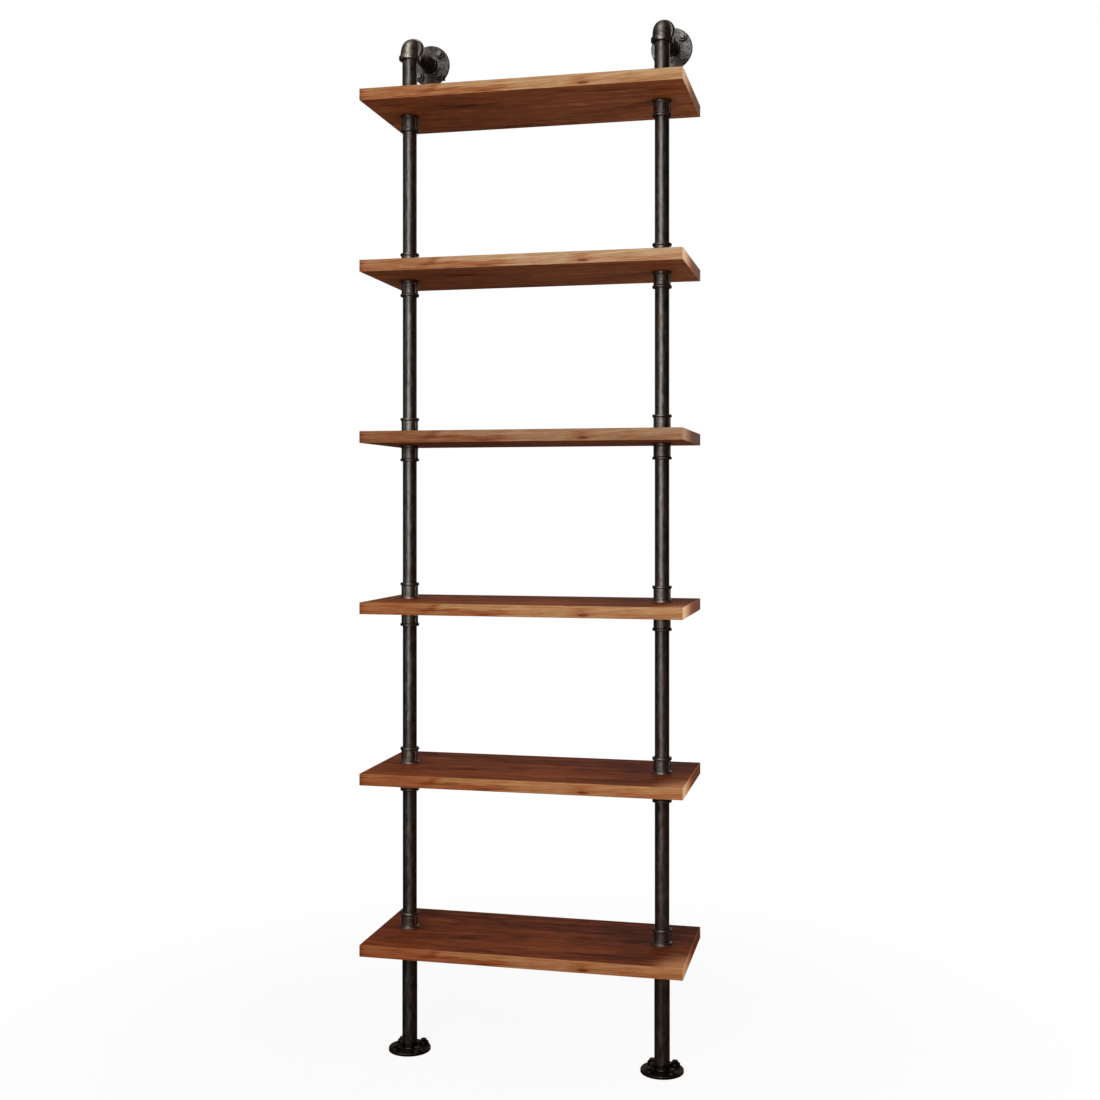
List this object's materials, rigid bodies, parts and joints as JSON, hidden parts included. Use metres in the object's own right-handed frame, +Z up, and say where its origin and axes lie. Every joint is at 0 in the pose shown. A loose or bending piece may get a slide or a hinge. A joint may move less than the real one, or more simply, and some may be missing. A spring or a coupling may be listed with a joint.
{
  "type": "pipe shelving unit",
  "caption": "Tall, narrow open shelving unit: wood boards clamped between pipe couplings on iron pipe posts, with floor flanges and elbows that tie the tops to a wall.",
  "frame": {"origin": "centre of the overall box at floor level", "axes": "+Z up along the posts, +Y from the front towards the wall, +X along the boards to the right as seen from the front"},
  "size_m": [0.6, 0.289, 1.9684],
  "materials": {
    "board": "satin oiled brown wood",
    "pipe": "dark gunmetal, lightly oiled",
    "fitting": "dark cast iron, satin",
    "screw": "blackened steel"
  },
  "bodies": {
    "root": {"shelf_1": "board", "shelf_2": "board", "shelf_3": "board", "shelf_4": "board", "shelf_5": "board", "shelf_6": "board", "floor_flange_left": "fitting", "floor_screws_left": "screw", "leg_pipe_left": "pipe", "shelf_nipples_left": "pipe", "coupling_lower_1_left": "fitting", "coupling_upper_1_left": "fitting", "post_pipe_1_left": "pipe", "coupling_lower_2_left": "fitting", "coupling_upper_2_left": "fitting", "post_pipe_2_left": "pipe", "coupling_lower_3_left": "fitting", "coupling_upper_3_left": "fitting", "post_pipe_3_left": "pipe", "coupling_lower_4_left": "fitting", "coupling_upper_4_left": "fitting", "post_pipe_4_left": "pipe", "coupling_lower_5_left": "fitting", "coupling_upper_5_left": "fitting", "post_pipe_5_left": "pipe", "coupling_lower_6_left": "fitting", "coupling_upper_6_left": "fitting", "top_pipe_left": "pipe", "elbow_left": "fitting", "wall_pipe_left": "pipe", "wall_flange_left": "fitting", "wall_screws_left": "screw", "floor_flange_right": "fitting", "floor_screws_right": "screw", "leg_pipe_right": "pipe", "shelf_nipples_right": "pipe", "coupling_lower_1_right": "fitting", "coupling_upper_1_right": "fitting", "post_pipe_1_right": "pipe", "coupling_lower_2_right": "fitting", "coupling_upper_2_right": "fitting", "post_pipe_2_right": "pipe", "coupling_lower_3_right": "fitting", "coupling_upper_3_right": "fitting", "post_pipe_3_right": "pipe", "coupling_lower_4_right": "fitting", "coupling_upper_4_right": "fitting", "post_pipe_4_right": "pipe", "coupling_lower_5_right": "fitting", "coupling_upper_5_right": "fitting", "post_pipe_5_right": "pipe", "coupling_lower_6_right": "fitting", "coupling_upper_6_right": "fitting", "top_pipe_right": "pipe", "elbow_right": "fitting", "wall_pipe_right": "pipe", "wall_flange_right": "fitting", "wall_screws_right": "screw"}
  },
  "joints": []
}
